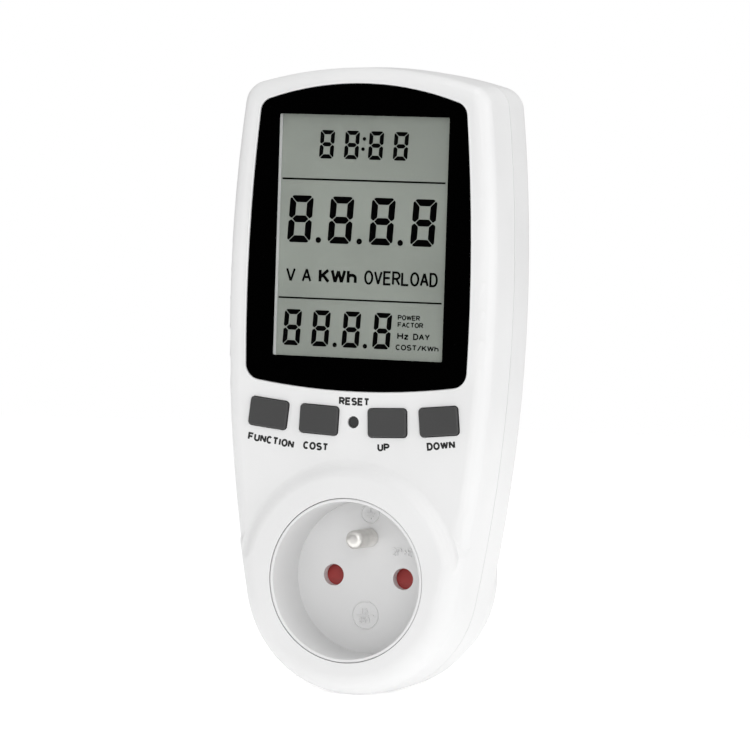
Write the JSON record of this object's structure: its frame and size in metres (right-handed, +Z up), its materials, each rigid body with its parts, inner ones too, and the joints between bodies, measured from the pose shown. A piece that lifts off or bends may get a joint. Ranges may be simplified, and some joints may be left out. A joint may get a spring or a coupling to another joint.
{
  "type": "plug-in power meter",
  "caption": "Wall-plug power meter: round-bottomed upright case with raised outlet ring and recessed type E outlet below, row of keys and a large display panel above, round plug behind.",
  "frame": {"origin": "centre of the plug face, where the two plug pins leave it", "axes": "+Y into the wall socket along the plug pins, +Z up the case, +X to the right seen from the front"},
  "size_m": [0.0732, 0.0745, 0.1579],
  "materials": {
    "battery_sleeve": "green shrink sleeve",
    "black_print": "black screen print",
    "black_resin": "black epoxy",
    "blue_wire": "blue wire insulation",
    "brown_wire": "brown wire insulation",
    "capacitor_box": "moulded box",
    "capacitor_can": "sleeved aluminium can",
    "circuit_board": "green solder mask",
    "clear_panel": "clear acrylic sheet",
    "contact_brass": "pressed brass",
    "contact_moulding": "heat-resistant moulding",
    "display_frame": "white moulding",
    "display_glass": "display glass",
    "display_polariser": "polarising film",
    "display_reflector": "grey-green reflective film",
    "grey_keys": "dark grey moulding",
    "lead_wire": "thin lead insulation",
    "manganin": "manganin strip",
    "nickel_plate": "nickel-plated brass",
    "red_shutter": "red moulding",
    "screw_steel": "zinc-plated steel",
    "spring_steel": "spring wire",
    "switch_body": "moulding with steel cap",
    "switch_plunger": "black moulding",
    "varistor_coat": "epoxy dip",
    "white_case": "moulded white thermoplastic, satin",
    "white_insert": "moulded white thermoplastic, slightly glossier",
    "zebra_rubber": "layered conductive rubber"
  },
  "bodies": {
    "meter": {"battery": "battery_sleeve", "battery_leads": "lead_wire", "board_link": "black_resin", "carrier_screws": "screw_steel", "case_screws": "screw_steel", "contact_carrier": "contact_moulding", "display_board": "circuit_board", "display_board_screws": "screw_steel", "display_chip": "black_resin", "earth_clip_lower": "nickel_plate", "earth_clip_upper": "nickel_plate", "earth_pin": "nickel_plate", "earth_sleeve": "contact_brass", "earth_strap": "contact_brass", "front_housing": "white_case", "lcd_frame": "display_frame", "lcd_front_glass": "display_glass", "lcd_polariser": "display_polariser", "lcd_rear_glass": "display_glass", "lcd_reflector": "display_reflector", "live_in_wire": "brown_wire", "live_out_wire": "brown_wire", "main_board": "circuit_board", "main_board_screws": "screw_steel", "mains_capacitor": "capacitor_box", "metering_chip": "black_resin", "neutral_link": "contact_brass", "neutral_wire": "blue_wire", "outlet_insert": "white_insert", "panel_lens": "clear_panel", "panel_mask": "black_print", "pin_holder": "contact_moulding", "plug_pin_live": "nickel_plate", "plug_pin_neutral": "nickel_plate", "rear_housing": "white_case", "shunt": "manganin", "shutter_spring": "spring_steel", "smoothing_capacitor": "capacitor_can", "socket_contact_live": "contact_brass", "socket_contact_neutral": "contact_brass", "switch_cost": "switch_body", "switch_down": "switch_body", "switch_function": "switch_body", "switch_reset": "switch_body", "switch_up": "switch_body", "varistor": "varistor_coat", "zebra_strips": "zebra_rubber"},
    "function_key": {"key_function": "grey_keys", "plunger_function": "switch_plunger"},
    "cost_key": {"key_cost": "grey_keys", "plunger_cost": "switch_plunger"},
    "up_key": {"key_up": "grey_keys", "plunger_up": "switch_plunger"},
    "down_key": {"key_down": "grey_keys", "plunger_down": "switch_plunger"},
    "reset_key": {"key_reset": "grey_keys", "plunger_reset": "switch_plunger"},
    "shutter_bar": {"shutter": "red_shutter"}
  },
  "joints": [
    {"name": "function_press", "type": "slide", "parent": "meter", "child": "function_key", "axis": [0, 1, 0], "range_m": [0, 0.00035], "stiffness_N_per_m": 1500, "springref_m": -0.0001},
    {"name": "cost_press", "type": "slide", "parent": "meter", "child": "cost_key", "axis": [0, 1, 0], "range_m": [0, 0.00035], "stiffness_N_per_m": 1500, "springref_m": -0.0001},
    {"name": "up_press", "type": "slide", "parent": "meter", "child": "up_key", "axis": [0, 1, 0], "range_m": [0, 0.00035], "stiffness_N_per_m": 1500, "springref_m": -0.0001},
    {"name": "down_press", "type": "slide", "parent": "meter", "child": "down_key", "axis": [0, 1, 0], "range_m": [0, 0.00035], "stiffness_N_per_m": 1500, "springref_m": -0.0001},
    {"name": "reset_press", "type": "slide", "parent": "meter", "child": "reset_key", "axis": [0, 1, 0], "range_m": [0, 0.00035], "stiffness_N_per_m": 1500, "springref_m": -0.0001},
    {"name": "shutter_slide", "type": "slide", "parent": "meter", "child": "shutter_bar", "axis": [0, 0, -1], "range_m": [0, 0.0064], "stiffness_N_per_m": 60, "springref_m": -0.002, "deforming": ["shutter_spring"]}
  ]
}
